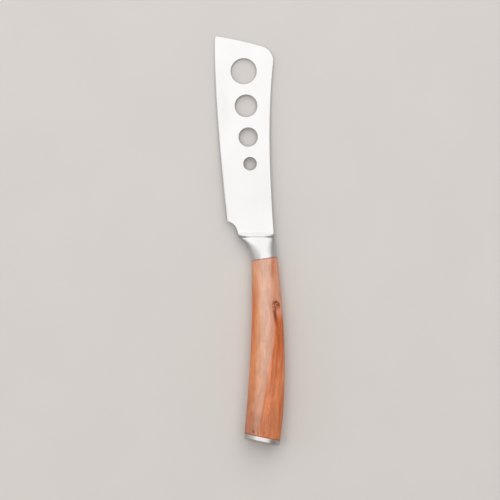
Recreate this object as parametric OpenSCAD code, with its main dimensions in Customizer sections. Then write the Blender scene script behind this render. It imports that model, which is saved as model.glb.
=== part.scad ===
// Cheese knife with four holes in its blade, a steel bolster, a curved wooden
// handle and a steel end cap. The blade's stub is let into the bolster. A round
// tang runs from there through the handle to a nut that the cap hides.
// Millimetres. X runs from cutting edge to spine, Y from butt to tip, Z up.

/* [Blade] */
// Length of the blade from its seat on the bolster to the tip
blade_len = 118.6; // [95:0.5:160]
// Thickness of the blade at the spine
blade_t = 1.8; // [1.2:0.1:2.2]
// Distance from the tang's axis to the cutting edge, at the tip
edge_tip_x = 28.9; // [25:0.1:36]
// Distance from the tang's axis to the cutting edge, at the heel
edge_heel_x = 21.4; // [18:0.1:26]
// Distance from the tang's axis to the spine, at the tip
spine_tip_x = 5.5; // [3:0.1:9]
// Distance from the tang's axis to the spine, at the bolster
spine_heel_x = 5.7; // [5.5:0.1:8]
// How far the end of the spine lies below the tip corner
tip_drop = 14.8; // [12:0.1:24]
// Length of the rounded corner between the spine and the tip line
tip_round = 8.6; // [3:0.1:10]
// Height of the heel corner above the blade's seat
heel_rise = 10; // [7:0.1:18]
// Distance from the tang's axis to the blade's side below the heel
foot_x = 14.9; // [12:0.1:16]
// Size of the small rounds at the tip and heel corners
nose_r = 0.8; // [0.3:0.1:1.2]

/* [Grind] */
// Width of the flat grind, measured in from the edge line
grind_w = 27; // [22:0.5:34]
// Thickness that the flat grind leaves at the edge line
edge_t = 0.6; // [0.4:0.05:0.9]
// Width of the sharpened bevel along the edge
bevel_w = 1; // [0.5:0.1:2]
// Flat left at the very edge
edge_flat = 0.15; // [0.05:0.05:0.25]

/* [Holes] */
// Diameter of the first hole, nearest the tip, by which the knife can hang
hole_1_d = 15.2; // [8:0.1:18]
// Diameter of the second hole
hole_2_d = 13.2; // [6:0.1:16]
// Diameter of the third hole
hole_3_d = 11.2; // [5:0.1:14]
// Diameter of the fourth hole, nearest the bolster
hole_4_d = 7.8; // [4:0.1:12]
// Steel left between two holes
hole_web = 6.2; // [3:0.1:8]
// Distance along the edge line from the tip corner to the first hole's centre
hole_tip_gap = 21.9; // [18:0.1:26]
// Distance from the edge line to the centres of the holes
hole_edge_gap = 15.5; // [13:0.1:18]

/* [Bolster] */
// Length of the bolster on the tang's axis
bolster_len = 12.2; // [10:0.1:20]
// Width of the joint between bolster and wood
collar_w = 14.95; // [13:0.1:18]
// Thickness of the bolster and the wood at their joint
collar_t = 12.4; // [10:0.1:15]
// Slant of the joint between bolster and wood, in degrees
collar_lean = 8; // [0:0.5:12]
// How far the joint's centre lies from the tang's axis, towards the spine side
collar_shift = 0.35; // [0:0.05:1]
// Thickness of the bolster's oval neck, right behind its rim
throat_t = 4.8; // [4:0.1:5.2]
// Thickness of the flat, rounded rim that holds the blade's foot
rim_t = 5.3; // [4.6:0.1:6.4]
// Length of the rim past the blade's seat
rim_len = 2.2; // [1.8:0.1:3]
// How far the rim stands past the blade's side, on the edge side
flare_edge = 0.45; // [0.2:0.05:1]
// How far the rim stands past the blade's side, on the spine side
flare_spine = 0.35; // [0.2:0.05:1]
// How far past the blade's seat the bolster's sides run straight
flare_rise = 1; // [0.3:0.1:1.6]

/* [Handle] */
// Length of the wood on the tang's axis
handle_len = 104; // [85:0.5:140]
// Width of the joint between wood and cap
butt_w = 21.2; // [18:0.1:26]
// Thickness of the wood and the cap at their joint
butt_t = 15.4; // [14:0.1:20]
// Slant of the joint between wood and cap, in degrees
butt_lean = 11.5; // [0:0.5:15]
// How far the joint's centre lies from the tang's axis, towards the edge side
butt_shift = 1; // [0:0.05:3]

/* [Tang] */
// Width of the blade's stub inside the bolster
stub_w = 9; // [6:0.1:9.4]
// Length of the blade's stub inside the bolster
stub_len = 6.8; // [4:0.1:8]
// Diameter of the round tang
rod_d = 5; // [4:0.1:6]
// Thickness of the resin round the tang
resin_t = 0.5; // [0.3:0.05:1]
// Outer diameter of the washer
washer_d = 10; // [9.2:0.1:10.8]
// Thickness of the washer
washer_t = 1; // [0.6:0.1:1.6]
// Width of the nut across its flats
nut_w = 8; // [7.2:0.1:8.4]
// Height of the nut
nut_h = 4; // [2.5:0.1:5]
// How far the tang stands past the nut
rod_past_nut = 1.2; // [0.4:0.1:2]

/* [End cap] */
// Height of the cap's straight side
cap_band = 2.5; // [1.2:0.1:5]
// Height of the cap's dome
cap_dome = 1.6; // [0.8:0.1:4]
// Space round the washer in the counterbore, which the cap's spigot closes
washer_gap = 0.4; // [0.2:0.05:0.8]
// Length of the cap's spigot on the tang's axis
spigot_len = 3.2; // [2.4:0.1:6]
// Space between the tang's end and the spigot
spigot_gap = 0.8; // [0.3:0.1:2]

/* [Hidden] */
$fn = 64;
// Clearance on each side of a piece that fits in another
fit = 0.04;
// How far a cut runs past the piece that it cuts
over = 1;
// Strip of full thickness between the rim and the end of the grind
grind_gap = 0.2;
// Steps along the edge and the spine, and along the other curves of the blade
long_steps = 16;
short_steps = 8;
// Steps along the rim's straight sides, and along the rest of the bolster
rim_steps = 6;
bolster_steps = 18;
// How much closer the bolster's sections stand near the rim: 1 is evenly spaced
bolster_crowding = 1.2;
// Points round a section of the bolster, the wood and the cap
section_pts = 48;
// Steps along the wood and the cap's dome
handle_steps = 30;
dome_steps = 7;
// Power of the oval section, of the rim's and of the dome: 2 is an ellipse, more
// is squarer
oval_pow = 2.4;
rim_pow = 5.4;
dome_pow = 2.1;

// Middle control points of the outline's curves. For the edge, the spine and
// the grip, the first number is a share of the width that stands beside it. In
// all others it is a share of the curve's own width, and the second number is
// always a share of the curve's own length.
edge_shares = [[1.014, 0.234], [1.2, 0.652]];
spine_shares = [[0.63, 0.31], [0.29, 0.65]];
grip_edge_shares = [[0.635, 0.365], [0.72, 0.596]];
grip_spine_shares = [[1.095, 0.288], [1.355, 0.692]];
tip_shares = [[0.35, 0.23], [0.74, 0.66]];
round_shares = [[0.62, 0.14], [1, 0.58]];
notch_shares = [[0.5, 0.16], [0.83, 0.36]];
flare_edge_shares = [[0.018, 0.14], [0.813, 0.267]];
flare_spine_shares = [[0.14, 0.164], [0.3, 0.313]];
// First values of the rim's half thickness, each a share of half of rim_t
rim_t_shares = [0.93, 1.05, 0.944];
// Middle values of the half thickness, each a share of the value at its end
neck_t_shares = [1.5, 0.81];
grip_t_shares = [1.1, 1.03];
// Width and height of the blade's rounded foot corners, as shares of foot_x
foot_shares = [0.2, 0.115];
// Width of the tip round, as a share of its length
tip_round_share = 0.75;
// Drop of the tip line and of the notch across a nose, as shares of its size
nose_drop_shares = [0.13, 0.42];
// Chamfer on the nut's corners and the tang's end, as a share of their radius
chamfer_share = 0.12;
// How deep the spigot is sunk in the cap, as a share of the cap's band
spigot_root_share = 0.25;

// Places on the blade
seat_y = bolster_len;
tip_corner = [-edge_tip_x, seat_y + blade_len];
heel_corner = [-edge_heel_x, seat_y + heel_rise];
spine_top = tip_corner + [edge_tip_x + spine_tip_x, -tip_drop];
foot_r = foot_x * foot_shares;
foot_left = [-foot_x, seat_y] + [foot_r[0], foot_r[1]];
foot_right = [spine_heel_x, seat_y] + [-foot_r[0], foot_r[1]];
stub_end_y = seat_y - stub_len;

// The edge line, which the grind and the row of holes follow
edge_run = tip_corner - heel_corner;
edge_up = edge_run / norm(edge_run);
edge_in = [edge_up[1], -edge_up[0]];
grind_a = atan((blade_t - edge_t) / 2 / grind_w);
bevel_a = atan((edge_t - edge_flat) / 2 / bevel_w);
rim_top_y = seat_y + rim_len;
grind_end = ([-foot_x, rim_top_y + grind_gap] - heel_corner) * edge_up;
hole_ds = [hole_1_d, hole_2_d, hole_3_d, hole_4_d];

// The joints at the two ends of the wood
collar_mid = [collar_shift, 0];
collar_half = collar_w / 2 * [cos(collar_lean), sin(collar_lean)];
butt_mid = [-butt_shift, -handle_len];
butt_half = butt_w / 2 * [cos(butt_lean), -sin(butt_lean)];

// The stack on the tang, from the counterbore's floor to the cap
rod_r = rod_d / 2;
resin_r = rod_r + resin_t;
cap_bore_r = washer_d / 2 + washer_gap;
mouth_y = -handle_len - butt_shift * tan(butt_lean);
spigot_y = mouth_y + spigot_len;
rod_end_y = spigot_y + spigot_gap;
nut_y = rod_end_y + rod_past_nut + nut_h;
floor_y = nut_y + washer_t;

// Functions for curves, sections and places
function bezier(p, t) =
    pow(1 - t, 3) * p[0] + 3 * t * pow(1 - t, 2) * p[1] + 3 * t * t * (1 - t) * p[2] + pow(t, 3) * p[3];
function sample(p, steps) = [for (i = [0:steps]) bezier(p, i / steps)];
function between(a, b, share) = [a[0] + (b[0] - a[0]) * share[0], a[1] + (b[1] - a[1]) * share[1]];
function curve(a, b, shares) = [a, between(a, b, shares[0]), between(a, b, shares[1]), b];
function side_point(x, a, b, share) = [x * share[0], a[1] + (b[1] - a[1]) * share[1]];
function corner(a, c, b) = [a, (a + 2 * c) / 3, (b + 2 * c) / 3, b];
function foot_round(mid, from, grow = 0) =
    [for (i = [0:short_steps]) mid + [cos(from + 90 * i / short_steps) * (foot_r[0] + grow),
                                      sin(from + 90 * i / short_steps) * (foot_r[1] + grow)]];
function oval(a, power) = [for (v = [cos(a), sin(a)]) sign(v) * pow(abs(v), 2 / power)];

// The blade's outline, anticlockwise from the tip corner
edge_top = tip_corner - [0, nose_r];
edge_end = heel_corner + [0, nose_r];
edge_curve = [edge_top,
              side_point(-edge_tip_x, edge_top, edge_end, edge_shares[0]),
              side_point(-edge_heel_x, edge_top, edge_end, edge_shares[1]),
              edge_end];
notch_top = heel_corner + nose_r * [1, -nose_drop_shares[1]];
notch_curve = curve(notch_top, foot_left - [foot_r[0], 0], notch_shares);
spine_end = foot_right + [foot_r[0], 0];
spine_curve = [spine_end,
               side_point(spine_heel_x, spine_end, spine_top, spine_shares[0]),
               side_point(spine_tip_x, spine_end, spine_top, spine_shares[1]),
               spine_top];
round_start = spine_top + tip_round * [-tip_round_share, 1];
tip_start = tip_corner + nose_r * [1, -nose_drop_shares[0]];
function backwards(p) = [for (i = [len(p) - 1:-1:0]) p[i]];
blade_outline = concat(
    sample(edge_curve, long_steps),
    sample(corner(edge_end, heel_corner, notch_top), short_steps),
    sample(notch_curve, short_steps),
    foot_round(foot_left, 180),
    foot_round(foot_right, 270),
    sample(spine_curve, long_steps),
    backwards(sample(curve(round_start, spine_top, round_shares), short_steps)),
    backwards(sample(curve(tip_start, round_start, tip_shares), short_steps)),
    sample(corner(tip_start, tip_corner, edge_top), short_steps));

// Each section of a loft is [its edge-side point, its spine-side point, half its
// thickness], and may name a power of its own after them
collar_left = collar_mid - collar_half;
collar_right = collar_mid + collar_half;
butt_left = butt_mid - butt_half;
butt_right = butt_mid + butt_half;
flare_top_y = seat_y + flare_rise;
flare_left = curve([-foot_x - flare_edge, flare_top_y], collar_left, flare_edge_shares);
flare_right = curve([spine_heel_x + flare_spine, flare_top_y], collar_right, flare_spine_shares);
rim_half_ts = concat(rim_t / 2 * rim_t_shares, throat_t / 2);
rim_pows = [rim_pow, rim_pow, (2 * rim_pow + oval_pow) / 3, oval_pow];
neck_half_ts = [throat_t, throat_t * neck_t_shares[0], collar_t * neck_t_shares[1], collar_t] / 2;

// The bolster starts as a flat bar, its rim, and turns into an oval neck behind it
function bolster_section(left, right) =
    let (y = (left[1] + right[1]) / 2, t = (rim_top_y - y) / rim_len)
    t < 1 ? [left, right, bezier(rim_half_ts, t), bezier(rim_pows, t)]
          : [left, right, bezier(neck_half_ts, 1 - y / seat_y)];
bolster_sections = concat(
    [for (i = [0:rim_steps - 1]) let (up = [0, (rim_len - flare_rise) * (1 - i / rim_steps)])
        bolster_section(flare_left[0] + up, flare_right[0] + up)],
    [for (i = [0:bolster_steps]) let (t = pow(i / bolster_steps, bolster_crowding))
        bolster_section(bezier(flare_left, t), bezier(flare_right, t))]);

// The slot in the bolster follows the blade's foot, and opens upwards beside the notch
foot_side = foot_left - [foot_r[0] + fit, 0];
notch_end = notch_curve[2] - notch_curve[3];
slot_rise = rim_len + over;
slot_outline = concat(
    foot_round(foot_left, 180, fit),
    foot_round(foot_right, 270, fit),
    [foot_right + [foot_r[0] + fit, slot_rise], foot_side + notch_end * slot_rise / notch_end[1]]);

function grip_point(side, share) = side_point(side * butt_w / 2, [0, 0], [0, -handle_len], share);
grip_left = [collar_left, grip_point(-1, grip_edge_shares[0]),
             grip_point(-1, grip_edge_shares[1]), butt_left];
grip_right = [collar_right, grip_point(1, grip_spine_shares[0]),
              grip_point(1, grip_spine_shares[1]), butt_right];
grip_half_ts = [collar_t, collar_t * grip_t_shares[0], butt_t * grip_t_shares[1], butt_t] / 2;
handle_sections = [for (i = [0:handle_steps]) let (t = i / handle_steps)
    [bezier(grip_left, t), bezier(grip_right, t), bezier(grip_half_ts, t)]];

// The cap carries on in the direction in which the wood's two sides end
butt_run = butt_left - grip_left[2] + butt_right - grip_right[2];
butt_dir = butt_run / norm(butt_run);
function cap_section(along, size) = [butt_mid + butt_dir * along - butt_half * size,
                                     butt_mid + butt_dir * along + butt_half * size,
                                     butt_t / 2 * size];
cap_sections = concat([cap_section(0, 1)], [for (i = [0:dome_steps - 1])
    let (rise = oval(90 * i / dome_steps, dome_pow)) cap_section(cap_band + cap_dome * rise[1], rise[0])]);
cap_pole = butt_mid + butt_dir * (cap_band + cap_dome);

// The origin lies on the ground below the middle of the whole knife
side_points = concat(blade_outline, [for (s = concat(handle_sections, cap_sections)) each [s[0], s[1]]]);
xs = [for (p = side_points) p[0]];
ys = [for (p = side_points) p[1]];
half_ts = [for (s = handle_sections) s[2]];
origin = [(min(xs) + max(xs)) / 2, (min(ys) + max(ys)) / 2, -max(half_ts)];

module place() {
    translate(-origin) children();
}

// A cylinder on the tang's axis, from y0 towards the tip as far as y1
module on_tang(r, y0, y1) {
    translate([0, y0, 0]) rotate([-90, 0, 0]) cylinder(r = r, h = y1 - y0);
}

// A solid through a row of sections, with flat ends or with a pole as its last end
module loft(sections, pole = undef) {
    n = section_pts;
    last = len(sections) - 1;
    points = [for (s = sections) for (i = [0:n - 1])
        let (o = oval(360 * i / n, len(s) > 3 ? s[3] : oval_pow),
             at = (s[0] + s[1]) / 2 + (s[1] - s[0]) / 2 * o[0])
        [at[0], at[1], s[2] * o[1]]];
    sides = [for (k = [0:last - 1]) for (i = [0:n - 1])
        let (a = k * n + i, b = k * n + (i + 1) % n)
        each [[a, a + n, b + n], [a, b + n, b]]];
    front = [[for (i = [0:n - 1]) i]];
    flat_end = [[for (i = [n - 1:-1:0]) last * n + i]];
    pole_end = [for (i = [0:n - 1]) [last * n + i, len(points), last * n + (i + 1) % n]];
    if (pole == undef)
        polyhedron(points, concat(front, sides, flat_end));
    else
        polyhedron(concat(points, [[pole[0], pole[1], 0]]), concat(front, sides, pole_end));
}

// A wedge over the line from low to high, which rises from z towards the spine
module wedge(low, high, z, rise, reach) {
    run = high - low;
    translate([low[0], low[1], z])
        rotate([0, -rise, -atan2(run[0], run[1])])
            translate([-over, -over, 0])
                cube([reach + over, norm(run) + 2 * over, blade_t]);
}

// Both faces of the blade are ground flat, then the edge is sharpened along its curve
module grinds() {
    wedge(heel_corner + edge_up * (grind_end + over), tip_corner, edge_t / 2, grind_a, grind_w + over);
    for (i = [0:long_steps - 1])
        wedge(bezier(edge_curve, (i + 1) / long_steps), bezier(edge_curve, i / long_steps),
              edge_flat / 2, bevel_a, 2 * bevel_w);
}

function hole_run(i) = i == 0 ? hole_tip_gap : hole_run(i - 1) + (hole_ds[i - 1] + hole_ds[i]) / 2 + hole_web;

module blade() {
    color("gainsboro") place() difference() {
        union() {
            difference() {
                linear_extrude(height = blade_t, center = true) polygon(blade_outline);
                grinds();
                mirror([0, 0, 1]) grinds();
            }
            translate([-stub_w / 2, stub_end_y, -blade_t / 2]) cube([stub_w, stub_len, blade_t]);
        }
        for (i = [0:len(hole_ds) - 1])
            translate(tip_corner - edge_up * hole_run(i) + edge_in * hole_edge_gap)
                cylinder(d = hole_ds[i], h = blade_t + 2 * over, center = true);
    }
}

module bolster() {
    color("silver") place() difference() {
        loft(bolster_sections);
        linear_extrude(height = blade_t + 2 * fit, center = true) polygon(slot_outline);
        translate([-stub_w / 2 - fit, stub_end_y, -blade_t / 2 - fit])
            cube([stub_w + 2 * fit, stub_len + over, blade_t + 2 * fit]);
        on_tang(rod_r + fit, collar_left[1] - over, stub_end_y);
    }
}

module tang_rod() {
    chamfer = rod_r * chamfer_share;
    color("darkgray") place() {
        on_tang(rod_r, rod_end_y + chamfer, stub_end_y);
        translate([0, rod_end_y, 0]) rotate([-90, 0, 0])
            cylinder(r1 = rod_r - chamfer, r2 = rod_r, h = chamfer);
    }
}

module tang_epoxy() {
    front_y = -(resin_r + collar_shift) * tan(collar_lean) - fit;
    color("wheat") place() difference() {
        on_tang(resin_r - fit, floor_y, front_y);
        on_tang(rod_r + fit, floor_y - over, front_y + over);
    }
}

module handle() {
    color("peru") place() difference() {
        loft(handle_sections);
        on_tang(resin_r, floor_y - over, collar_right[1] + over);
        on_tang(cap_bore_r, butt_right[1] - over, floor_y);
    }
}

module tang_washer() {
    color("lightgray") place() difference() {
        on_tang(washer_d / 2, nut_y, floor_y);
        on_tang(rod_r + fit, nut_y - over, floor_y + over);
    }
}

module tang_nut() {
    corner_r = nut_w / 2 / cos(30);
    chamfer = corner_r * chamfer_share;
    color("lightgray") place() translate([0, nut_y, 0]) rotate([90, 0, 0]) difference() {
        intersection() {
            cylinder(r = corner_r, h = nut_h, $fn = 6);
            union() {
                cylinder(r = corner_r, h = nut_h - chamfer);
                translate([0, 0, nut_h - chamfer])
                    cylinder(r1 = corner_r, r2 = corner_r - chamfer, h = chamfer);
            }
        }
        translate([0, 0, -over]) cylinder(r = rod_r + fit, h = nut_h + 2 * over);
    }
}

module end_cap() {
    spigot_r = cap_bore_r - fit;
    root_y = mouth_y - spigot_r * tan(butt_lean) - cap_band * spigot_root_share;
    color("silver") place() {
        loft(cap_sections, cap_pole);
        on_tang(spigot_r, root_y, spigot_y);
    }
}

blade();
bolster();
tang_rod();
tang_epoxy();
handle();
tang_washer();
tang_nut();
end_cap();
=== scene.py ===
import math

import bpy
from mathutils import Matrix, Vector


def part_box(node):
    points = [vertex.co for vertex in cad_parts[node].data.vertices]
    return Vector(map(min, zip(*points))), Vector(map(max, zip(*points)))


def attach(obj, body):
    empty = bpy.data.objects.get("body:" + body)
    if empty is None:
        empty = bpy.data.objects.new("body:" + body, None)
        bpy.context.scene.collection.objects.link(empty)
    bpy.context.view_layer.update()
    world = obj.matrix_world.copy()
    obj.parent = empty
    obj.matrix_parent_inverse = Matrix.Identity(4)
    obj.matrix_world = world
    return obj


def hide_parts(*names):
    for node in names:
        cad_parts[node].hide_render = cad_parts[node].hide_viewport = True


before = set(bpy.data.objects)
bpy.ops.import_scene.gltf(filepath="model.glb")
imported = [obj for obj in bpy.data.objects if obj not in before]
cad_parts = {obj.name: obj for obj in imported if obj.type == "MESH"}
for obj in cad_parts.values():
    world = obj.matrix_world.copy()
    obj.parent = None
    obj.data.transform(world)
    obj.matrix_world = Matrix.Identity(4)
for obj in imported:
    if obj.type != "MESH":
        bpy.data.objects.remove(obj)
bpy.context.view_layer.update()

# Blade: one sheet of stainless steel with four round holes, ground flat on both
# faces and sharpened along its curved edge, with a fine satin finish. It is the
# fixed frame's blade with its grind run out in a ramp and its cut edges eased.

BLADE_COLOUR = (0.570, 0.566, 0.560, 1)
SAME_PLACE = 0.000001
SHARP_TURN = math.radians(35)
EASED = 0.00012
EDGE_HALF_T = 0.0002
STUB_LENGTH = 0.0067
STEP_WIDTH, STEP_TOP = 0.01, 0.0115
RUN_OUT = 0.0034
CORNER_NEAR, CORNER_FAR = 0.0001, 0.0003
BEVEL_END_NEAR, BEVEL_END_FAR = 0.0006, 0.0009
HEEL_WIDTH = 0.001


def calc(tree, operation, *values):
    """A Math node on numbers or on other nodes' outputs."""
    node = tree.nodes.new("ShaderNodeMath")
    node.operation = operation
    for socket, value in zip(node.inputs, values):
        if isinstance(value, (int, float)):
            socket.default_value = value
        else:
            tree.links.new(value, socket)
    return node.outputs[0]


def drawn_noise(tree, place, stretch, detail=2.0, rough=0.5, warp=0.0):
    """Noise that is drawn out in the directions where stretch is small."""
    mapping = tree.nodes.new("ShaderNodeMapping")
    mapping.inputs["Scale"].default_value = stretch
    tree.links.new(place, mapping.inputs["Vector"])
    noise = tree.nodes.new("ShaderNodeTexNoise")
    noise.inputs["Scale"].default_value = 1
    noise.inputs["Detail"].default_value = detail
    noise.inputs["Roughness"].default_value = rough
    noise.inputs["Distortion"].default_value = warp
    tree.links.new(mapping.outputs["Vector"], noise.inputs["Vector"])
    return noise.outputs["Fac"]


def spread(tree, value, low, high, to_low=0.0, to_high=1.0, soft=True):
    """Takes value from low..high to to_low..to_high, and holds it outside."""
    node = tree.nodes.new("ShaderNodeMapRange")
    node.interpolation_type = "SMOOTHSTEP" if soft else "LINEAR"
    for socket, number in zip(node.inputs[1:5], (low, high, to_low, to_high)):
        socket.default_value = number
    tree.links.new(value, node.inputs[0])
    return node.outputs[0]


def tint(tree, share, first, second, blend="MIX"):
    """Mixes two colours, each a colour or an output, by a share."""
    node = tree.nodes.new("ShaderNodeMix")
    node.data_type = "RGBA"
    node.blend_type = blend
    for socket, value in ((node.inputs[0], share), (node.inputs[6], first), (node.inputs[7], second)):
        if isinstance(value, (int, float, tuple)):
            socket.default_value = value
        else:
            tree.links.new(value, socket)
    return node.outputs[2]


def millimetres(tree):
    """The place on the knife in millimetres."""
    where = tree.nodes.new("ShaderNodeTexCoord")
    mapping = tree.nodes.new("ShaderNodeMapping")
    mapping.inputs["Scale"].default_value = (1000, 1000, 1000)
    tree.links.new(where.outputs["Object"], mapping.inputs["Vector"])
    return mapping.outputs["Vector"]


def new_finish(name, colour, metallic, roughness):
    """A material with one Principled shader, and the tree to build on."""
    material = bpy.data.materials.new(name)
    material.use_nodes = True
    tree = material.node_tree
    shader = tree.nodes["Principled BSDF"]
    shader.inputs["Base Color"].default_value = colour
    shader.inputs["Metallic"].default_value = metallic
    shader.inputs["Roughness"].default_value = roughness
    return material, tree, shader


def raise_surface(tree, shader, height, depth):
    """Feeds a height pattern to the shader as a relief, depth metres deep."""
    bump = tree.nodes.new("ShaderNodeBump")
    bump.inputs["Strength"].default_value = 1
    bump.inputs["Distance"].default_value = depth
    tree.links.new(height, bump.inputs["Height"])
    tree.links.new(bump.outputs["Normal"], shader.inputs["Normal"])


def satin_steel(name, colour, roughness, lines, relief=0.0000012):
    """Steel with fine polishing lines, and faint cloudy wear over them."""
    material, tree, shader = new_finish(name, colour, 1, roughness)
    place = millimetres(tree)
    fine = drawn_noise(tree, place, lines, detail=3, rough=0.6)
    cloud = drawn_noise(tree, place, (0.05, 0.035, 0.05), detail=3, rough=0.5, warp=0.4)
    wear = calc(tree, "ADD", calc(tree, "MULTIPLY", fine, 0.6), calc(tree, "MULTIPLY", cloud, 0.4))
    gloss = spread(tree, wear, 0.3, 0.7, roughness - 0.05, roughness + 0.06)
    tree.links.new(gloss, shader.inputs["Roughness"])
    dull = tuple(c * 0.95 for c in colour[:3]) + (1,)
    tree.links.new(tint(tree, spread(tree, wear, 0.35, 0.65), dull, colour), shader.inputs["Base Color"])
    raise_surface(tree, shader, fine, relief)
    return material


def settle(piece, material, slot_name, *nodes):
    """Gives a finished piece its finish, its body and the nodes it stands for."""
    piece.data.materials.clear()
    piece.data.materials.append(material)
    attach(piece, "root")
    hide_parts(*nodes)


def take_only(piece):
    """Makes this piece the only selected one, and the active one."""
    bpy.ops.object.select_all(action="DESELECT")
    piece.select_set(True)
    bpy.context.view_layer.objects.active = piece


def let_go(kind):
    """Lets go of all of the piece, so that points, edges or faces can be picked."""
    bpy.ops.object.mode_set(mode="EDIT")
    bpy.ops.mesh.select_mode(type=kind)
    bpy.ops.mesh.select_all(action="DESELECT")
    bpy.ops.object.mode_set(mode="OBJECT")


def raise_points(piece, rises):
    """Moves numbered points of a piece up, each by its own height."""
    for index, rise in rises.items():
        piece.data.vertices[index].select = True
        bpy.ops.object.mode_set(mode="EDIT")
        bpy.ops.transform.translate(value=(0, 0, rise))
        bpy.ops.mesh.select_all(action="DESELECT")
        bpy.ops.object.mode_set(mode="OBJECT")


blade = bpy.data.objects.new("blade_eased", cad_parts["blade"].data.copy())
bpy.context.scene.collection.objects.link(blade)
blade_low, blade_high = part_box("blade")
blade_mid_z = (blade_low.z + blade_high.z) / 2
take_only(blade)
bpy.ops.object.mode_set(mode="EDIT")
bpy.ops.mesh.select_mode(type="EDGE")
bpy.ops.mesh.select_all(action="SELECT")
bpy.ops.mesh.remove_doubles(threshold=SAME_PLACE)
bpy.ops.mesh.dissolve_limited(angle_limit=math.radians(0.3))
bpy.ops.object.mode_set(mode="OBJECT")

# The step where the grind ends becomes a ramp.
step = []
for edge in blade.data.edges:
    ends = [blade.data.vertices[i].co.copy() for i in edge.vertices]
    if abs(ends[0].x - ends[1].x) > STEP_WIDTH and max(co.y for co in ends) < blade_low.y + STEP_TOP:
        step = sorted(ends, key=lambda co: co.x)
if step:
    away = Vector((step[0].y - step[1].y, step[1].x - step[0].x, 0)).normalized()
    bpy.ops.object.mode_set(mode="EDIT")
    bpy.ops.mesh.select_all(action="SELECT")
    bpy.ops.mesh.bisect(plane_co=step[0] + away * RUN_OUT, plane_no=away)
    let_go("VERT")
    rises = {}
    for vertex in blade.data.vertices:
        past = (vertex.co - step[0]).dot(away)
        off_middle = vertex.co.z - blade_mid_z
        if -SAME_PLACE < past < RUN_OUT - SAME_PLACE:
            lift = (blade_high.z - blade_mid_z - abs(off_middle)) * (1 - past / RUN_OUT)
            rises[vertex.index] = math.copysign(lift, off_middle)
    raise_points(blade, rises)

heel_tip = min((vertex.co for vertex in blade.data.vertices if abs(vertex.co.z - blade_mid_z) < EDGE_HALF_T),
               key=lambda co: co.y).copy()


def from_tip(index):
    """How far one of the blade's points is from the heel's tip, seen from above."""
    return (blade.data.vertices[index].co.xy - heel_tip.xy).length


# The sharpened bevel is taken on through the heel's corner.
let_go("EDGE")
for edge in blade.data.edges:
    near_end, far_end = sorted(from_tip(i) for i in edge.vertices)
    edge.select = CORNER_NEAR < near_end < CORNER_FAR and far_end > HEEL_WIDTH
bpy.ops.object.mode_set(mode="EDIT")
bpy.ops.mesh.subdivide(number_cuts=1)
let_go("VERT")
bevel_ends = []
for vertex in blade.data.vertices:
    if BEVEL_END_NEAR < from_tip(vertex.index) < BEVEL_END_FAR and vertex.co.x > heel_tip.x:
        vertex.select = True
        bevel_ends.append(vertex.co.copy())
if bevel_ends:
    bpy.ops.object.mode_set(mode="EDIT")
    bpy.ops.mesh.vert_connect()
    let_go("VERT")
    tip_half_t = abs(heel_tip.z - blade_mid_z)
    bevel_end = bevel_ends[-1]
    bevel_slope = (abs(bevel_end.z - blade_mid_z) - tip_half_t) / (bevel_end.x - heel_tip.x)
    rises = {}
    for vertex in blade.data.vertices:
        off_middle = vertex.co.z - blade_mid_z
        if from_tip(vertex.index) < CORNER_FAR and abs(off_middle) > tip_half_t + SAME_PLACE:
            wanted = tip_half_t + bevel_slope * (vertex.co.x - heel_tip.x)
            rises[vertex.index] = math.copysign(wanted, off_middle) - off_middle
    raise_points(blade, rises)

# The cut edges are eased, but not the sharpened one, the stub or the heel's tip.
bpy.ops.object.mode_set(mode="EDIT")
bpy.ops.mesh.select_all(action="SELECT")
bpy.ops.mesh.remove_doubles(threshold=SAME_PLACE)
bpy.ops.mesh.select_mode(type="EDGE")
bpy.ops.mesh.select_all(action="DESELECT")
bpy.ops.mesh.edges_select_sharp(sharpness=SHARP_TURN)
bpy.ops.object.mode_set(mode="OBJECT")
for edge in blade.data.edges:
    ends = [blade.data.vertices[i].co for i in edge.vertices]
    sharpened = all(abs(co.z - blade_mid_z) < EDGE_HALF_T for co in ends)
    on_stub = max(co.y for co in ends) < blade_low.y + STUB_LENGTH
    at_tip = min(from_tip(i) for i in edge.vertices) < CORNER_FAR
    if sharpened or on_stub or at_tip:
        edge.select = False
bpy.ops.object.mode_set(mode="EDIT")
bpy.ops.mesh.bevel(offset=EASED, segments=2, affect="EDGES", clamp_overlap=False)
bpy.ops.mesh.select_all(action="DESELECT")
bpy.ops.mesh.edges_select_sharp(sharpness=math.radians(8))
bpy.ops.object.mode_set(mode="OBJECT")
for edge in blade.data.edges:
    if max(from_tip(i) for i in edge.vertices) > HEEL_WIDTH:
        edge.select = False
bpy.ops.object.mode_set(mode="EDIT")
bpy.ops.mesh.mark_sharp()
bpy.ops.object.mode_set(mode="OBJECT")
bpy.ops.object.shade_smooth_by_angle(angle=math.radians(40))
weighted = blade.modifiers.new("flat_faces_stay_flat", "WEIGHTED_NORMAL")
weighted.keep_sharp = True
bpy.ops.object.modifier_apply(modifier=weighted.name)
settle(blade, satin_steel("blade_satin", BLADE_COLOUR, 0.42, (0.6, 9, 9)), "blade_steel", "blade")

# Bolster: a steel casting that joins the flat blade to the oval grip. Its rim is
# a flat, rounded bar with a slot for the blade's foot, the oval neck behind it
# swells to the collar, and its back is drilled for the tang.

rod_low, rod_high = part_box("tang_rod")
AXIS_X = (rod_low.x + rod_high.x) / 2
AXIS_Z = (rod_low.z + rod_high.z) / 2
ROD_PAST_JOINT = 0.0054
JOINT_Y = rod_high.y - ROD_PAST_JOINT
OVAL, RIM_BAR = 2.4, 5.4
END_INSET = 0.0002
BOLSTER_COLOUR = (0.560, 0.557, 0.552, 1)


def at(x, y):
    """A point in millimetres from where the tang's axis leaves the bolster."""
    return Vector((AXIS_X + x / 1000, JOINT_Y + y / 1000, AXIS_Z))


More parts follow.
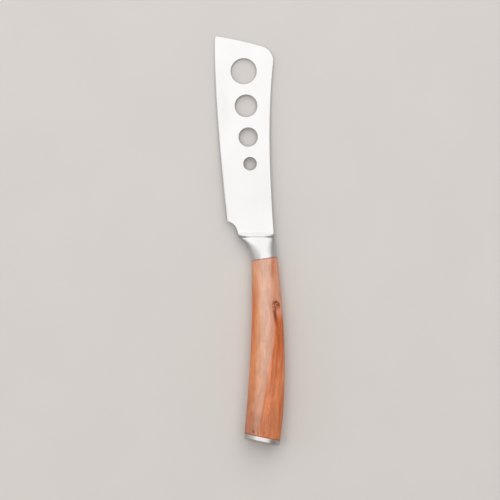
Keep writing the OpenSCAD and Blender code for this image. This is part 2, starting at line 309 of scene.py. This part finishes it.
def along(points, share):
    """The point at this share of a curve through four control points."""
    a, b, c, d = points
    rest = 1 - share
    return a * rest ** 3 + b * 3 * share * rest ** 2 + c * 3 * share ** 2 * rest + d * share ** 3


def slice_of(left, right, half_t, size=1.0, power=OVAL):
    """A section: its middle, half width, half thickness, lean and rounding."""
    run = right - left
    rounding = (1 - 0.5 ** (1 / power)) / (1 - 0.5 ** 0.5)
    return ((left + right) / 2, run.length / 2 * size, half_t * size, math.atan2(run.y, run.x), rounding)


def loft(name, slices):
    """Sets up one rounded face per slice, bridges each to the next and smooths them."""
    bpy.ops.object.select_all(action="DESELECT")
    for middle, half_w, half_t, lean, rounding in slices:
        if bpy.context.mode == "OBJECT":
            bpy.ops.mesh.primitive_plane_add(size=2, rotation=(math.pi / 2, 0, 0))
            piece = bpy.context.object
            piece.name = piece.data.name = name
            bpy.ops.object.transform_apply(location=True, rotation=True, scale=True)
            bpy.ops.object.mode_set(mode="EDIT")
            bpy.ops.mesh.select_mode(type="VERT")
        else:
            bpy.ops.mesh.select_all(action="DESELECT")
            bpy.ops.mesh.primitive_plane_add(size=2, rotation=(math.pi / 2, 0, 0))
        bpy.ops.mesh.bevel(offset=rounding, segments=10, profile=0.5, affect="VERTICES")
        bpy.ops.transform.resize(value=(half_w, 1, half_t), center_override=(0, 0, 0))
        bpy.ops.transform.rotate(value=-lean, orient_axis="Z", center_override=(0, 0, 0))
        bpy.ops.transform.translate(value=middle)
    bpy.ops.mesh.select_mode(type="FACE")
    bpy.ops.mesh.select_all(action="DESELECT")
    bpy.ops.object.mode_set(mode="OBJECT")
    ring = len(piece.data.vertices) // len(slices)
    for face in piece.data.polygons[1:-1]:
        face.select = True
    bpy.ops.object.mode_set(mode="EDIT")
    bpy.ops.mesh.delete(type="ONLY_FACE")
    bpy.ops.mesh.select_mode(type="EDGE")
    for first in range(len(slices) - 1):
        bpy.ops.mesh.select_all(action="DESELECT")
        bpy.ops.object.mode_set(mode="OBJECT")
        for edge in piece.data.edges:
            low, high = [vertex // ring for vertex in edge.vertices]
            edge.select = low == high and low in (first, first + 1)
        bpy.ops.object.mode_set(mode="EDIT")
        bpy.ops.mesh.bridge_edge_loops()
    bpy.ops.mesh.select_all(action="SELECT")
    bpy.ops.mesh.normals_make_consistent(inside=False)
    bpy.ops.mesh.select_mode(type="FACE")
    bpy.ops.mesh.select_all(action="DESELECT")
    bpy.ops.object.mode_set(mode="OBJECT")
    for face in piece.data.polygons:
        face.select = len(face.vertices) == ring
    bpy.ops.object.mode_set(mode="EDIT")
    bpy.ops.mesh.inset(thickness=END_INSET)
    bpy.ops.object.mode_set(mode="OBJECT")
    smoother = piece.modifiers.new("smoother", "SUBSURF")
    smoother.levels = smoother.render_levels = 2
    bpy.ops.object.modifier_apply(modifier=smoother.name)
    return piece


def cut_away(piece, cutter):
    """Cuts the selected cutter out of a piece and throws the cutter away."""
    take_only(piece)
    knife = piece.modifiers.new("cut", "BOOLEAN")
    knife.operation = "DIFFERENCE"
    knife.solver = "EXACT"
    knife.object = cutter
    bpy.ops.object.modifier_apply(modifier=knife.name)
    bpy.data.objects.remove(cutter)


def drill(radius, low_y, high_y):
    """A drill on the tang's axis, between two places in the row's own metres."""
    bpy.ops.object.select_all(action="DESELECT")
    bpy.ops.mesh.primitive_cylinder_add(
        vertices=64, radius=radius, depth=high_y - low_y,
        location=(AXIS_X, (low_y + high_y) / 2, AXIS_Z), rotation=(math.pi / 2, 0, 0))
    bpy.ops.object.transform_apply(location=True, rotation=True, scale=True)
    return bpy.context.object


collar = [at(-7.052, -1.040), at(7.752, 1.040)]
flare_left = [at(-15.35, 13.2), at(-15.201, 11.206), at(-8.604, 9.398), collar[0]]
flare_right = [at(6.05, 13.2), at(6.288, 11.206), at(6.561, 9.394), collar[1]]
rim_half_t = [0.002465, 0.002783, 0.002502, 0.0024]
rim_power = [RIM_BAR, 4.7, 3.8, 2.75]
neck_half_t = [0.0024, 0.0036, 0.005022, 0.0062]
neck_power = [2.75, 1.7, 2.3, OVAL]
RIM_TOP, SEAT = 0.0144, 0.0122


def bolster_slice(left, right, size=1.0):
    """A section of the bolster, shaped as its rim or its neck is there."""
    y = (left.y + right.y) / 2 - JOINT_Y
    if y > SEAT:
        share = (RIM_TOP - y) / (RIM_TOP - SEAT)
        return slice_of(left, right, along(rim_half_t, share), size, along(rim_power, share))
    share = max(0, min(1 - y / SEAT, 1))
    return slice_of(left, right, along(neck_half_t, 1 - y / SEAT), size, along(neck_power, share))


def rim(up, size=1.0):
    """A section of the rim, up metres past the place where the flare starts."""
    return bolster_slice(flare_left[0] + Vector((0, up, 0)), flare_right[0] + Vector((0, up, 0)), size)


def flare(share, size=1.0):
    """A section of the flare, at a share of its length from the rim to the collar."""
    return bolster_slice(along(flare_left, share), along(flare_right, share), size)


bolster = loft("bolster_cast", (
    [rim(0.0012, 0.985)]
    + [rim(up) for up in (0.00112, 0.00095, 0.0007, 0.00035)]
    + [flare(share) for share in (0, 0.04, 0.08, 0.12, 0.16, 0.2, 0.25, 0.31, 0.37, 0.44, 0.51, 0.58, 0.66,
                                  0.74, 0.82, 0.9, 0.97, 0.99)]
    + [flare(1, 0.984)]))

FOOT_W, FOOT_H = 0.00298, 0.0017135
SLOT_T, FIT, INTO_SEAT, ROD_BORE_R = 0.00188, 0.00004, 0.0003, 0.00254
seat_low, seat_high = at(-14.94, 12.16), at(5.74, 17)
squash = FOOT_H / FOOT_W
bpy.ops.object.select_all(action="DESELECT")
bpy.ops.mesh.primitive_cube_add(size=1)
seat = bpy.context.object
bpy.ops.object.mode_set(mode="EDIT")
bpy.ops.transform.resize(
    value=(seat_high.x - seat_low.x, (seat_high.y - seat_low.y) / squash, SLOT_T), center_override=(0, 0, 0))
bpy.ops.mesh.select_all(action="DESELECT")
bpy.ops.object.mode_set(mode="OBJECT")
for edge in seat.data.edges:
    a, b = [seat.data.vertices[i].co for i in edge.vertices]
    edge.select = a.y < 0 and b.y < 0 and abs(a.z - b.z) > 0.001
bpy.ops.object.mode_set(mode="EDIT")
bpy.ops.mesh.select_mode(type="EDGE")
bpy.ops.mesh.bevel(offset=FOOT_W, segments=12, profile=0.5, affect="EDGES")
bpy.ops.mesh.select_all(action="SELECT")
bpy.ops.transform.resize(value=(1, squash, 1), center_override=(0, 0, 0))
bpy.ops.transform.translate(value=(seat_low + seat_high) / 2)
bpy.ops.object.mode_set(mode="OBJECT")
cut_away(bolster, seat)
stub_x = [vertex.co.x for vertex in blade.data.vertices if vertex.co.y < blade_low.y + 0.003]
slot_low = Vector((min(stub_x) - FIT, blade_low.y - FIT, AXIS_Z - SLOT_T / 2))
slot_high = Vector((max(stub_x) + FIT, seat_low.y + INTO_SEAT, AXIS_Z + SLOT_T / 2))
bpy.ops.object.select_all(action="DESELECT")
bpy.ops.mesh.primitive_cube_add(size=1)
stub_slot = bpy.context.object
bpy.ops.object.mode_set(mode="EDIT")
bpy.ops.transform.resize(value=slot_high - slot_low, center_override=(0, 0, 0))
bpy.ops.transform.translate(value=(slot_low + slot_high) / 2)
bpy.ops.object.mode_set(mode="OBJECT")
cut_away(bolster, stub_slot)
cut_away(bolster, drill(ROD_BORE_R, collar[0].y - 0.003, JOINT_Y + ROD_PAST_JOINT))
take_only(bolster)
bpy.ops.object.shade_smooth_by_angle(angle=SHARP_TURN)
settle(bolster, satin_steel("bolster_satin", BOLSTER_COLOUR, 0.39, (0.5, 8, 0.5)), "bolster_steel", "bolster")

# Tang: a drawn steel rod, welded to the blade's stub inside the bolster, that
# runs down through the whole handle. The fixed frame's solid is used as it is.

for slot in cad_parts["tang_rod"].material_slots:
    slot.material = satin_steel("drawn_rod", (0.55, 0.54, 0.52, 1), 0.4, (6, 0.2, 6))

# Bedding: cured resin, poured round the tang to bed it in the wood. It is
# cloudy, and honey coloured where it is thick.

resin, tree, shader = new_finish("cured_resin", (0.72, 0.56, 0.30, 1), 0, 0.45)
clouding = drawn_noise(tree, millimetres(tree), (0.8, 0.2, 0.8), detail=3)
tree.links.new(tint(tree, spread(tree, clouding, 0.35, 0.7), (0.66, 0.48, 0.22, 1), (0.80, 0.68, 0.44, 1)),
               shader.inputs["Base Color"])
tree.links.new(spread(tree, clouding, 0.3, 0.7, 0.4, 0.6), shader.inputs["Roughness"])
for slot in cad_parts["tang_epoxy"].material_slots:
    slot.material = resin

# Handle: one piece of reddish hardwood, shaped to the palm, bored for the tang
# and counterbored for the nut. A pale streak, a dark vein and a knot run in it.

WOOD_ORANGE = (0.655, 0.228, 0.088, 1)
WOOD_TAN = (0.665, 0.345, 0.225, 1)
WOOD_ROSE = (0.665, 0.295, 0.180, 1)
WOOD_BUTT = (0.490, 0.185, 0.108, 1)
WOOD_STREAK = (0.720, 0.420, 0.310, 1)
WOOD_STREAK_LOW = (0.650, 0.325, 0.210, 1)
WOOD_GOLD = (0.720, 0.320, 0.130, 1)
WOOD_RUST = (0.520, 0.112, 0.022, 1)
WOOD_AMBER = (0.690, 0.225, 0.090, 1)
WOOD_DARK = (0.200, 0.030, 0.004, 1)
KNOT = (15.3, -38.4, 2.1, 2.7)
STREAK_BENDS = ((0.26, 0.465), (0.53, 0.435), (0.73, 0.375), (0.82, 0.305), (0.9, 0.245))
DARK_SPOTS = ((2.3, -111.5, 0.9, 0.6), (4.9, -112.6, 0.5, 0.35), (8.6, -112.0, 0.6, 0.4),
              (11.6, -113.2, 0.5, 0.3), (1.0, -101.0, 1.2, 0.25))
RUSTY_FLAMES = ((13.3, -14.5, 1.3, 8.0, 0.45), (16.2, -78.0, 1.6, 5.0, 0.5), (16.8, -58.0, 1.2, 7.0, 0.4),
                (17.4, -97.0, 1.0, 6.0, 0.5), (1.2, -103.0, 1.2, 5.0, 0.4))

butt = [at(-11.387, -101.887), at(9.387, -106.113)]
grip_left = [collar[0], at(-6.731, -37.96), at(-7.632, -61.984), butt[0]]
grip_right = [collar[1], at(11.607, -29.952), at(14.363, -71.968), butt[1]]
grip_half_t = [0.0062, 0.00682, 0.007931, 0.0077]
BORE_R, COUNTERBORE_R = 0.0030, 0.0054


def grip(share, size=1.0):
    """The wood's section at a share of its length, from the collar to the butt."""
    return slice_of(along(grip_left, share), along(grip_right, share), along(grip_half_t, share), size)


handle = loft("handle_wood", (
    [grip(0, 0.984)]
    + [grip(share) for share in (0.0012, 0.004, 0.03, 0.09, 0.16, 0.23, 0.3, 0.37, 0.44, 0.51, 0.58, 0.65,
                                 0.72, 0.79, 0.86, 0.92, 0.97, 0.996, 0.9988)]
    + [grip(1, 0.988)]))
floor_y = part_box("tang_washer")[1].y
cut_away(handle, drill(BORE_R, floor_y - 0.001, collar[1].y + 0.003))
cut_away(handle, drill(COUNTERBORE_R, butt[1].y - 0.003, floor_y))
take_only(handle)
bpy.ops.object.shade_smooth_by_angle(angle=SHARP_TURN)


def near(tree, x, y, middle_x, middle_y, reach_x, reach_y):
    """How far a place is from a middle, in reaches: 1 on the oval's rim."""
    off_x = calc(tree, "DIVIDE", calc(tree, "SUBTRACT", x, middle_x), reach_x)
    off_y = calc(tree, "DIVIDE", calc(tree, "SUBTRACT", y, middle_y), reach_y)
    return calc(tree, "SQRT", calc(tree, "ADD", calc(tree, "MULTIPLY", off_x, off_x),
                                   calc(tree, "MULTIPLY", off_y, off_y)))


wood, tree, shader = new_finish("red_hardwood", WOOD_ORANGE, 0, 0.5)
place = millimetres(tree)
parts = tree.nodes.new("ShaderNodeSeparateXYZ")
tree.links.new(place, parts.inputs[0])
x, y, z = parts.outputs
sway = drawn_noise(tree, place, (0.10, 0.045, 0.10), detail=3)
drift = calc(tree, "MULTIPLY", calc(tree, "SUBTRACT", sway, 0.5), 2.6)
knot_far = near(tree, x, y, *KNOT)
push = calc(tree, "MULTIPLY", calc(tree, "EXPONENT", calc(tree, "MULTIPLY", knot_far, -0.9)),
            calc(tree, "MULTIPLY", calc(tree, "SUBTRACT", x, 15.2), -1.1))
swayed_x = calc(tree, "ADD", calc(tree, "ADD", x, drift), push)
down = spread(tree, y, -8, -113, 0, 1, soft=False)
streak_line = tree.nodes.new("ShaderNodeFloatCurve")
tree.links.new(down, streak_line.inputs["Value"])
line = streak_line.mapping.curves[0]
line.points[0].location, line.points[1].location = (0, 0.43), (1, 0.235)
for where in STREAK_BENDS:
    line.points.new(*where)
streak_line.mapping.update()
streak_x = calc(tree, "MULTIPLY", streak_line.outputs[0], 20)
grain_x = calc(tree, "SUBTRACT", swayed_x, streak_x)
along_grain = tree.nodes.new("ShaderNodeCombineXYZ")
tree.links.new(grain_x, along_grain.inputs[0])
tree.links.new(y, along_grain.inputs[1])
tree.links.new(z, along_grain.inputs[2])
grain_place = along_grain.outputs[0]
fibres = drawn_noise(tree, grain_place, (2.2, 0.06, 0.9), detail=4, rough=0.6)
bands = drawn_noise(tree, grain_place, (0.6, 0.03, 0.3), detail=3, rough=0.55)
clouds = drawn_noise(tree, grain_place, (0.28, 0.10, 0.28), detail=3, rough=0.55, warp=0.6)
pores = drawn_noise(tree, grain_place, (7.0, 0.28, 7.0), detail=1, rough=0.4)
specks = drawn_noise(tree, place, (1.5, 1.2, 1.5), detail=1, rough=0.4)

# The ground colour, from the edge side to the spine side and darker at the butt.
ground = tint(tree, spread(tree, grain_x, -5.5, -2.5), WOOD_ORANGE, WOOD_TAN)
ground = tint(tree, spread(tree, grain_x, 0, 4), ground, WOOD_ROSE)
tan_top = calc(tree, "MULTIPLY", spread(tree, down, 0, 0.28, 0.9, 0), spread(tree, grain_x, -2, 0, 1, 0))
ground = tint(tree, tan_top, ground, WOOD_TAN)
ground = tint(tree, spread(tree, down, 0.68, 0.98, 0, 0.85), ground, WOOD_BUTT)

# The rust coloured side below the knot, mottled with amber.
rust_line = calc(tree, "MINIMUM", calc(tree, "MULTIPLY_ADD", y, 0.1745, 24.2), 14.4)
rust_edge = calc(tree, "SUBTRACT", swayed_x, rust_line)
rust = calc(tree, "MULTIPLY", spread(tree, rust_edge, -0.5, 0.9), spread(tree, down, 0.3, 0.38))
mottle = calc(tree, "ADD", spread(tree, down, 0.5, 0.68, 0, 0.7), spread(tree, bands, 0.35, 0.65, -0.3, 0.45))
mottle = calc(tree, "MINIMUM", calc(tree, "MAXIMUM", mottle, 0), 1)
ground = tint(tree, rust, ground, tint(tree, mottle, WOOD_RUST, WOOD_AMBER))

# The pale streak, with a golden line on its edge side.
streak_half = spread(tree, down, 0.3, 1.0, 3.7, 2.0)
streak_off = calc(tree, "DIVIDE", calc(tree, "ABSOLUTE", grain_x), streak_half)
streak = calc(tree, "MULTIPLY", spread(tree, streak_off, 0.45, 1.15, 1, 0),
              spread(tree, down, 0.85, 1.0, 1, 0.45))
streak = calc(tree, "MULTIPLY", streak, spread(tree, bands, 0.25, 0.6, 0.7, 1))
streak_tone = tint(tree, spread(tree, down, 0.3, 0.85), WOOD_STREAK, WOOD_STREAK_LOW)
ground = tint(tree, streak, ground, streak_tone)
gold_off = calc(tree, "ABSOLUTE", calc(tree, "ADD", calc(tree, "DIVIDE", grain_x, streak_half), 0.75))
gold = calc(tree, "MULTIPLY", spread(tree, gold_off, 0.05, 0.3, 0.6, 0),
            calc(tree, "MULTIPLY", spread(tree, down, 0.25, 0.45), spread(tree, down, 0.8, 0.95, 1, 0)))
ground = tint(tree, gold, ground, WOOD_GOLD)

# The dark vein beside the streak, and the knot with its tail, arc, dots and flecks.
vein_off = calc(tree, "ABSOLUTE", calc(tree, "SUBTRACT", swayed_x, 2.6))
vein = calc(tree, "MULTIPLY", spread(tree, vein_off, 0.2, 0.9, 0.45, 0),
            calc(tree, "MULTIPLY", spread(tree, down, 0.14, 0.24), spread(tree, down, 0.45, 0.55, 1, 0)))
ground = tint(tree, vein, ground, WOOD_RUST)
tail_line = calc(tree, "MULTIPLY_ADD", y, -0.14, 8.7)
tail_off = calc(tree, "ABSOLUTE", calc(tree, "SUBTRACT", x, tail_line))
tail = calc(tree, "MULTIPLY", spread(tree, tail_off, 0.4, 1.5, 1, 0),
            calc(tree, "MULTIPLY", spread(tree, y, -39.8, -41.6), spread(tree, y, -52, -44, 0, 0.9)))
ground = tint(tree, tail, ground, WOOD_DARK)
knot = calc(tree, "MULTIPLY", spread(tree, knot_far, 0.8, 1.4, 1, 0), 0.7)
ground = tint(tree, knot, ground, WOOD_RUST)
arc_side = calc(tree, "MULTIPLY_ADD", x, 0.5, y)
arc = calc(tree, "MULTIPLY",
           calc(tree, "MULTIPLY", spread(tree, knot_far, 0.1, 0.6), spread(tree, knot_far, 0.85, 1.3, 1, 0)),
           spread(tree, arc_side, -31.6, -29.4))
ground = tint(tree, calc(tree, "MULTIPLY", arc, 0.9), ground, WOOD_DARK)
dots = calc(tree, "MULTIPLY", spread(tree, specks, 0.44, 0.52, 0.75, 0),
            spread(tree, knot_far, 0.9, 1.2, 1, 0))
ground = tint(tree, dots, ground, WOOD_DARK)
flecks = calc(tree, "MULTIPLY", spread(tree, specks, 0.56, 0.62, 0, 0.6),
              spread(tree, knot_far, 0.7, 1.0, 1, 0))
ground = tint(tree, flecks, ground, WOOD_STREAK)

# Small dark spots near the butt, long rusty flames, and a darker band along both ends of the wood.
for spot_x, spot_y, spot_size, strength in DARK_SPOTS:
    spot = spread(tree, near(tree, x, y, spot_x, spot_y, spot_size, spot_size * 1.2), 0.3, 1.3, strength, 0)
    ground = tint(tree, spot, ground, WOOD_DARK)
for flame_x, flame_y, flame_w, flame_h, strength in RUSTY_FLAMES:
    flame = spread(tree, near(tree, swayed_x, y, flame_x, flame_y, flame_w, flame_h), 0.3, 1.2, strength, 0)
    ground = tint(tree, flame, ground, WOOD_RUST)
for left, right, facing in ((butt[0], butt[1], 1), (collar[0], collar[1], -1)):
    lean = (right.y - left.y) / (right.x - left.x)
    line_start = (left.y - lean * left.x) * 1000
    from_end = calc(tree, "SUBTRACT", calc(tree, "MULTIPLY_ADD", x, -lean, y), line_start)
    # a darker band along each end of the wood, where it meets the cap or the bolster
    darker_ends = spread(tree, calc(tree, "MULTIPLY", from_end, facing), 0.15, 0.9, 0.45, 0)
    ground = tint(tree, darker_ends, ground, WOOD_DARK)

# Over it all, a darker butt, soft clouds, fibres and open pores.
ground = tint(tree, 1.0, ground, spread(tree, down, 0.7, 1.0, 1, 0.87), "MULTIPLY")
ground = tint(tree, 1.0, ground, spread(tree, clouds, 0.3, 0.7, 0.86, 1.13, soft=False), "MULTIPLY")
ground = tint(tree, 1.0, ground, spread(tree, fibres, 0.28, 0.72, 0.86, 1.13, soft=False), "MULTIPLY")
ground = tint(tree, spread(tree, pores, 0.62, 0.75, 0, 0.3), ground, WOOD_DARK)
tree.links.new(ground, shader.inputs["Base Color"])
tree.links.new(spread(tree, fibres, 0.3, 0.7, 0.58, 0.46), shader.inputs["Roughness"])
shader.inputs["Specular IOR Level"].default_value = 0.38
relief = calc(tree, "SUBTRACT", fibres, calc(tree, "MULTIPLY", pores, 0.5))
raise_surface(tree, shader, relief, 0.00004)
settle(handle, wood, "handle_wood", "handle")

# Nut and washer: plated steel, turned and sawn from bar. They sit in the
# counterbore and draw the handle up on the tang, and are the fixed frame's own.

plated = satin_steel("plated_steel", (0.62, 0.61, 0.57, 1), 0.33, (0.7, 5, 0.7))
for name in ("tang_washer", "tang_nut"):
    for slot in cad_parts[name].material_slots:
        slot.material = plated

# End cap: a domed steel cap, polished and then brushed. Its short spigot is
# pressed in the counterbore and hides the nut.

CAP_COLOUR = (0.515, 0.482, 0.456, 1)
CAP_BAND, CAP_DOME, DOME_POWER = 0.0025, 0.0016, 2.1
SPIGOT_R = 0.00536
cap_way = ((butt[0] - grip_left[2]) + (butt[1] - grip_right[2])).normalized()


def dome(out, size):
    """A section of the cap, out metres past the wood."""
    return slice_of(butt[0] + cap_way * out, butt[1] + cap_way * out, grip_half_t[3], size)


def dome_ring(turn):
    """A section of the dome, from 0 at its rim to 90 degrees at its pole."""
    rise = math.sin(math.radians(turn)) ** (2 / DOME_POWER)
    return dome(CAP_BAND + CAP_DOME * rise, math.cos(math.radians(turn)) ** (2 / DOME_POWER))


cap = loft("end_cap_domed", (
    [dome(0, 0.988), dome(0.00013, 1), dome(0.0004, 1), dome(0.0015, 1)]
    + [dome_ring(turn) for turn in (0, 14, 28, 42, 55, 67, 78, 86)]))
spigot_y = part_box("end_cap")[1].y
spigot = drill(SPIGOT_R, butt[0].y - 0.0035, spigot_y)
take_only(cap)
joined = cap.modifiers.new("spigot", "BOOLEAN")
joined.operation = "UNION"
joined.solver = "EXACT"
joined.object = spigot
bpy.ops.object.modifier_apply(modifier=joined.name)
bpy.data.objects.remove(spigot)
bpy.ops.object.shade_smooth_by_angle(angle=SHARP_TURN)
settle(cap, satin_steel("cap_satin", CAP_COLOUR, 0.38, (0.5, 8, 0.5)), "cap_steel", "end_cap")

# Table: plain and pale. The knife lies on it on the butt of its handle and on
# the tip of its blade, so the table slopes a little under the fixed frame.

TABLE_COLOUR = (0.648, 0.617, 0.588, 1)
TIP_Y, TIP_HALF_T = 0.118, 0.0009
tip_rest = Vector((0, TIP_Y, blade_mid_z - TIP_HALF_T))
slope = 0
for piece in (handle, cap):
    for vertex in piece.data.vertices:
        co = vertex.co
        if co.y < -0.02:
            slope = max(slope, (tip_rest.z - co.z) / (tip_rest.y - co.y))
tilt = math.atan(slope)
bpy.ops.object.select_all(action="DESELECT")
bpy.ops.mesh.primitive_plane_add(size=6)
table = bpy.context.object
table.name = "table"
bpy.ops.object.mode_set(mode="EDIT")
bpy.ops.mesh.select_all(action="SELECT")
bpy.ops.mesh.subdivide(number_cuts=4)
bpy.ops.transform.rotate(value=-tilt, orient_axis="X", center_override=(0, 0, 0))
bpy.ops.transform.translate(value=(0, 0, tip_rest.z - tip_rest.y * slope - 0.00002))
bpy.ops.object.mode_set(mode="OBJECT")
paper, tree, shader = new_finish("pale_paper", TABLE_COLOUR, 0, 0.9)
tooth = drawn_noise(tree, millimetres(tree), (0.02, 0.02, 0.02), detail=4)
lighter = tuple(c * 1.02 for c in TABLE_COLOUR[:3]) + (1,)
tree.links.new(tint(tree, spread(tree, tooth, 0.3, 0.7), TABLE_COLOUR, lighter), shader.inputs["Base Color"])
table.data.materials.append(paper)

# Light and camera: a wide soft box overhead and towards the tip throws the soft
# shadows towards the butt, and a dimmer one stands low on the edge side. The room's
# walls are brighter low down, and the camera is square to the table.

up = Vector((0, -math.sin(tilt), math.cos(tilt)))


def soft_box(name, width, height, place, glow):
    """A flat lamp that faces the middle of the knife; glow is its radiance."""
    lamp = bpy.data.lights.new(name, "AREA")
    lamp.shape = "RECTANGLE"
    lamp.size, lamp.size_y = width, height
    lamp.energy = glow * math.pi ** 2 / 4 * width * height
    holder = bpy.data.objects.new(name, lamp)
    bpy.context.scene.collection.objects.link(holder)
    holder.location = place
    holder.rotation_euler = (-Vector(place)).to_track_quat("-Z", "Y").to_euler()


soft_box("overhead_box", 2.1, 3.9, (0.17, 0.66, 2.0), 2.17)
soft_box("edge_side_box", 2.0, 2.6, (-1.45, 0.45, 1.5), 0.9)

WALL_LOW = (0.62, 0.61, 0.60, 1)
WALL_HIGH = (0.31, 0.305, 0.30, 1)
BACKDROP = (0.66, 0.645, 0.62, 1)
world = bpy.data.worlds.new("studio")
world.use_nodes = True
bpy.context.scene.world = world
tree = world.node_tree
direction = tree.nodes.new("ShaderNodeTexCoord")
height = tree.nodes.new("ShaderNodeSeparateXYZ")
tree.links.new(direction.outputs["Generated"], height.inputs[0])
walls = tint(tree, spread(tree, height.outputs[2], 0.05, 0.4), WALL_LOW, WALL_HIGH)
seen = tree.nodes.new("ShaderNodeLightPath")
room = tint(tree, seen.outputs["Is Camera Ray"], walls, BACKDROP)
tree.links.new(room, tree.nodes["Background"].inputs["Color"])

CAMERA_FAR, VIEW_WIDTH = 1.5, 0.2925
lens = bpy.data.cameras.new("camera")
lens.sensor_width = 36
lens.lens = 36 * CAMERA_FAR / VIEW_WIDTH
camera = bpy.data.objects.new("camera", lens)
bpy.context.scene.collection.objects.link(camera)
aim = Vector((0.00024, -0.00563, 0.0075))
camera.location = aim + up * CAMERA_FAR
camera.rotation_euler = (tilt, 0, 0)
bpy.context.scene.camera = camera
bpy.context.scene.view_settings.view_transform = "Standard"
